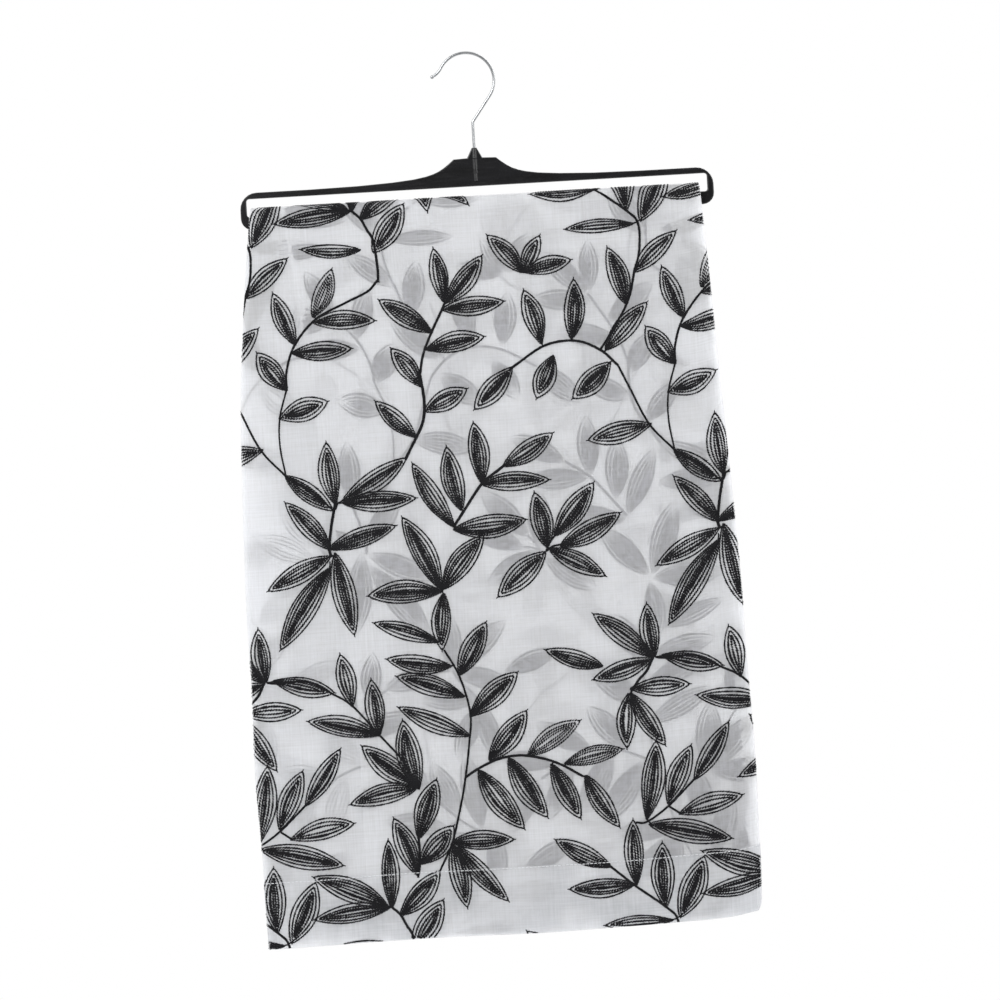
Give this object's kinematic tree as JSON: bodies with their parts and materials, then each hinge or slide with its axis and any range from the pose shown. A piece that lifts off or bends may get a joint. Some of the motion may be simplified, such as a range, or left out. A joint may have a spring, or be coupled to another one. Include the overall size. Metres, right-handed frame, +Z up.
{
  "type": "folded sheer voile curtain on a hanger",
  "caption": "Sheer white voile curtain with black embroidered leaf sprays, folded and hung over the bar of a flat black hanger with a wire hook.",
  "frame": {"origin": "inside top of the hook, where a rail carries it", "axes": "+Z up, +X to the right as seen from the front, and the front of the folded curtain faces -Y"},
  "size_m": [0.3594, 0.0186, 0.6374],
  "materials": {
    "voile": "sheer plain weave with black embroidery",
    "hanger_plastic": "satin black moulding",
    "hook_steel": "bright plated wire"
  },
  "bodies": {
    "root": {"voile_curtain": "voile", "hanger_body": "hanger_plastic", "hanger_hook": "hook_steel"}
  },
  "joints": []
}
